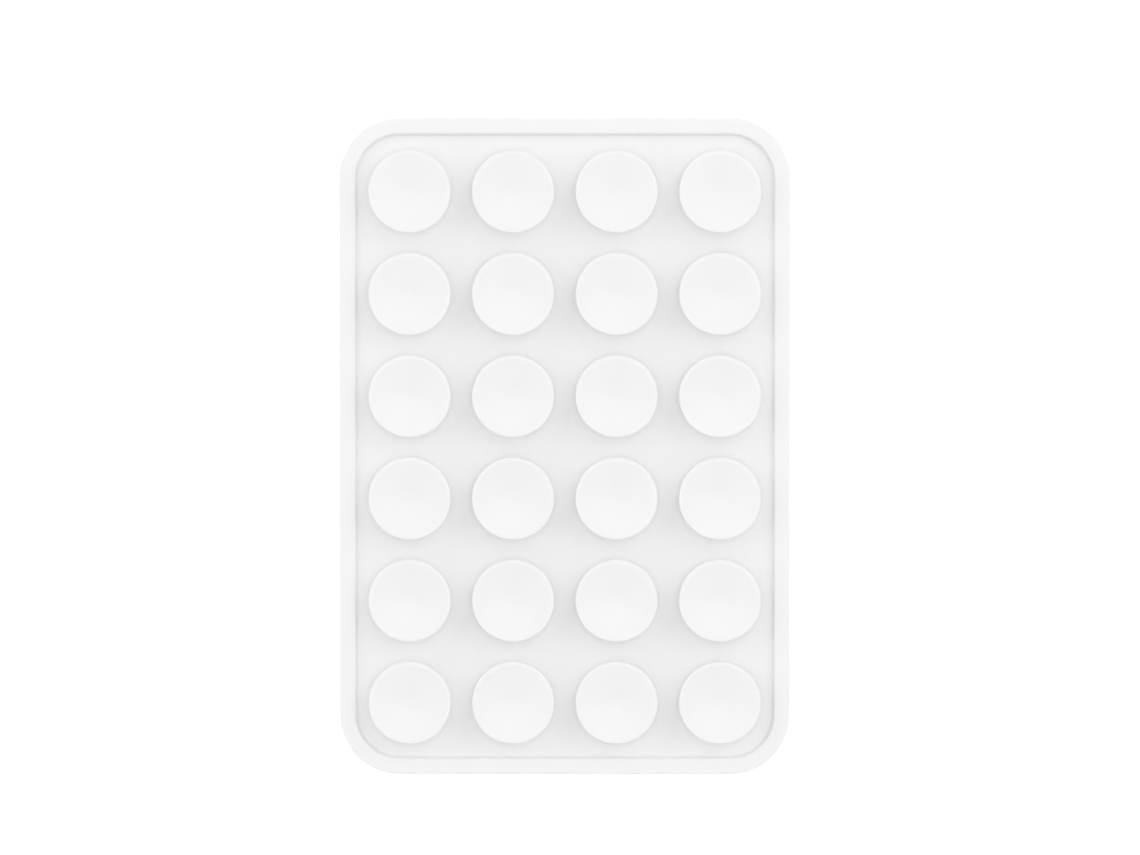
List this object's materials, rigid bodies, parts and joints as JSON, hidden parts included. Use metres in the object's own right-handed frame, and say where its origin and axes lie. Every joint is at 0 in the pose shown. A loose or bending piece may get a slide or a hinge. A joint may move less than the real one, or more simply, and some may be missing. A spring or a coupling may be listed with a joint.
{
  "type": "suction cup phone holder",
  "caption": "Flat silicone mat with a raised rim and a grid of small suction cups on its front and an adhesive back under a peel-off liner; holds a phone on smooth surfaces.",
  "frame": {"origin": "centre of the release liner's outer face, which the part rests on", "axes": "+Z out of the cups, away from the adhesive; +Y along the length, towards cup row 1 and the liner's finger tab; +X across the width, towards cup column 4"},
  "size_m": [0.063, 0.092, 0.0054],
  "materials": {
    "mat_silicone": "white silicone, smooth satin mould finish",
    "cup_silicone": "white silicone, polished so that the cup seals",
    "adhesive": "tacky double-sided film, slightly glossy",
    "liner_paper": "smooth coated release paper"
  },
  "bodies": {
    "mat": {"backing_mat": "mat_silicone", "adhesive_pad": "adhesive"},
    "liner": {"release_liner": "liner_paper"},
    "cup_r1c1": {"suction_cup_r1c1": "cup_silicone", "neck_r1c1": "mat_silicone"},
    "cup_r1c2": {"suction_cup_r1c2": "cup_silicone", "neck_r1c2": "mat_silicone"},
    "cup_r1c3": {"suction_cup_r1c3": "cup_silicone", "neck_r1c3": "mat_silicone"},
    "cup_r1c4": {"suction_cup_r1c4": "cup_silicone", "neck_r1c4": "mat_silicone"},
    "cup_r2c1": {"suction_cup_r2c1": "cup_silicone", "neck_r2c1": "mat_silicone"},
    "cup_r2c2": {"suction_cup_r2c2": "cup_silicone", "neck_r2c2": "mat_silicone"},
    "cup_r2c3": {"suction_cup_r2c3": "cup_silicone", "neck_r2c3": "mat_silicone"},
    "cup_r2c4": {"suction_cup_r2c4": "cup_silicone", "neck_r2c4": "mat_silicone"},
    "cup_r3c1": {"suction_cup_r3c1": "cup_silicone", "neck_r3c1": "mat_silicone"},
    "cup_r3c2": {"suction_cup_r3c2": "cup_silicone", "neck_r3c2": "mat_silicone"},
    "cup_r3c3": {"suction_cup_r3c3": "cup_silicone", "neck_r3c3": "mat_silicone"},
    "cup_r3c4": {"suction_cup_r3c4": "cup_silicone", "neck_r3c4": "mat_silicone"},
    "cup_r4c1": {"suction_cup_r4c1": "cup_silicone", "neck_r4c1": "mat_silicone"},
    "cup_r4c2": {"suction_cup_r4c2": "cup_silicone", "neck_r4c2": "mat_silicone"},
    "cup_r4c3": {"suction_cup_r4c3": "cup_silicone", "neck_r4c3": "mat_silicone"},
    "cup_r4c4": {"suction_cup_r4c4": "cup_silicone", "neck_r4c4": "mat_silicone"},
    "cup_r5c1": {"suction_cup_r5c1": "cup_silicone", "neck_r5c1": "mat_silicone"},
    "cup_r5c2": {"suction_cup_r5c2": "cup_silicone", "neck_r5c2": "mat_silicone"},
    "cup_r5c3": {"suction_cup_r5c3": "cup_silicone", "neck_r5c3": "mat_silicone"},
    "cup_r5c4": {"suction_cup_r5c4": "cup_silicone", "neck_r5c4": "mat_silicone"},
    "cup_r6c1": {"suction_cup_r6c1": "cup_silicone", "neck_r6c1": "mat_silicone"},
    "cup_r6c2": {"suction_cup_r6c2": "cup_silicone", "neck_r6c2": "mat_silicone"},
    "cup_r6c3": {"suction_cup_r6c3": "cup_silicone", "neck_r6c3": "mat_silicone"},
    "cup_r6c4": {"suction_cup_r6c4": "cup_silicone", "neck_r6c4": "mat_silicone"}
  },
  "joints": [
    {"name": "liner_peel", "type": "hinge", "parent": "mat", "child": "liner", "pos_m": [0, -0.045, 0.00007], "axis": [-1, 0, 0], "range_deg": [0, 180]},
    {"name": "press_r1c1", "type": "slide", "parent": "mat", "child": "cup_r1c1", "axis": [0, 0, -1], "range_m": [0, 0.0008], "stiffness_N_per_m": 600, "deforming": ["neck_r1c1"]},
    {"name": "press_r1c2", "type": "slide", "parent": "mat", "child": "cup_r1c2", "axis": [0, 0, -1], "range_m": [0, 0.0008], "stiffness_N_per_m": 600, "deforming": ["neck_r1c2"]},
    {"name": "press_r1c3", "type": "slide", "parent": "mat", "child": "cup_r1c3", "axis": [0, 0, -1], "range_m": [0, 0.0008], "stiffness_N_per_m": 600, "deforming": ["neck_r1c3"]},
    {"name": "press_r1c4", "type": "slide", "parent": "mat", "child": "cup_r1c4", "axis": [0, 0, -1], "range_m": [0, 0.0008], "stiffness_N_per_m": 600, "deforming": ["neck_r1c4"]},
    {"name": "press_r2c1", "type": "slide", "parent": "mat", "child": "cup_r2c1", "axis": [0, 0, -1], "range_m": [0, 0.0008], "stiffness_N_per_m": 600, "deforming": ["neck_r2c1"]},
    {"name": "press_r2c2", "type": "slide", "parent": "mat", "child": "cup_r2c2", "axis": [0, 0, -1], "range_m": [0, 0.0008], "stiffness_N_per_m": 600, "deforming": ["neck_r2c2"]},
    {"name": "press_r2c3", "type": "slide", "parent": "mat", "child": "cup_r2c3", "axis": [0, 0, -1], "range_m": [0, 0.0008], "stiffness_N_per_m": 600, "deforming": ["neck_r2c3"]},
    {"name": "press_r2c4", "type": "slide", "parent": "mat", "child": "cup_r2c4", "axis": [0, 0, -1], "range_m": [0, 0.0008], "stiffness_N_per_m": 600, "deforming": ["neck_r2c4"]},
    {"name": "press_r3c1", "type": "slide", "parent": "mat", "child": "cup_r3c1", "axis": [0, 0, -1], "range_m": [0, 0.0008], "stiffness_N_per_m": 600, "deforming": ["neck_r3c1"]},
    {"name": "press_r3c2", "type": "slide", "parent": "mat", "child": "cup_r3c2", "axis": [0, 0, -1], "range_m": [0, 0.0008], "stiffness_N_per_m": 600, "deforming": ["neck_r3c2"]},
    {"name": "press_r3c3", "type": "slide", "parent": "mat", "child": "cup_r3c3", "axis": [0, 0, -1], "range_m": [0, 0.0008], "stiffness_N_per_m": 600, "deforming": ["neck_r3c3"]},
    {"name": "press_r3c4", "type": "slide", "parent": "mat", "child": "cup_r3c4", "axis": [0, 0, -1], "range_m": [0, 0.0008], "stiffness_N_per_m": 600, "deforming": ["neck_r3c4"]},
    {"name": "press_r4c1", "type": "slide", "parent": "mat", "child": "cup_r4c1", "axis": [0, 0, -1], "range_m": [0, 0.0008], "stiffness_N_per_m": 600, "deforming": ["neck_r4c1"]},
    {"name": "press_r4c2", "type": "slide", "parent": "mat", "child": "cup_r4c2", "axis": [0, 0, -1], "range_m": [0, 0.0008], "stiffness_N_per_m": 600, "deforming": ["neck_r4c2"]},
    {"name": "press_r4c3", "type": "slide", "parent": "mat", "child": "cup_r4c3", "axis": [0, 0, -1], "range_m": [0, 0.0008], "stiffness_N_per_m": 600, "deforming": ["neck_r4c3"]},
    {"name": "press_r4c4", "type": "slide", "parent": "mat", "child": "cup_r4c4", "axis": [0, 0, -1], "range_m": [0, 0.0008], "stiffness_N_per_m": 600, "deforming": ["neck_r4c4"]},
    {"name": "press_r5c1", "type": "slide", "parent": "mat", "child": "cup_r5c1", "axis": [0, 0, -1], "range_m": [0, 0.0008], "stiffness_N_per_m": 600, "deforming": ["neck_r5c1"]},
    {"name": "press_r5c2", "type": "slide", "parent": "mat", "child": "cup_r5c2", "axis": [0, 0, -1], "range_m": [0, 0.0008], "stiffness_N_per_m": 600, "deforming": ["neck_r5c2"]},
    {"name": "press_r5c3", "type": "slide", "parent": "mat", "child": "cup_r5c3", "axis": [0, 0, -1], "range_m": [0, 0.0008], "stiffness_N_per_m": 600, "deforming": ["neck_r5c3"]},
    {"name": "press_r5c4", "type": "slide", "parent": "mat", "child": "cup_r5c4", "axis": [0, 0, -1], "range_m": [0, 0.0008], "stiffness_N_per_m": 600, "deforming": ["neck_r5c4"]},
    {"name": "press_r6c1", "type": "slide", "parent": "mat", "child": "cup_r6c1", "axis": [0, 0, -1], "range_m": [0, 0.0008], "stiffness_N_per_m": 600, "deforming": ["neck_r6c1"]},
    {"name": "press_r6c2", "type": "slide", "parent": "mat", "child": "cup_r6c2", "axis": [0, 0, -1], "range_m": [0, 0.0008], "stiffness_N_per_m": 600, "deforming": ["neck_r6c2"]},
    {"name": "press_r6c3", "type": "slide", "parent": "mat", "child": "cup_r6c3", "axis": [0, 0, -1], "range_m": [0, 0.0008], "stiffness_N_per_m": 600, "deforming": ["neck_r6c3"]},
    {"name": "press_r6c4", "type": "slide", "parent": "mat", "child": "cup_r6c4", "axis": [0, 0, -1], "range_m": [0, 0.0008], "stiffness_N_per_m": 600, "deforming": ["neck_r6c4"]}
  ]
}
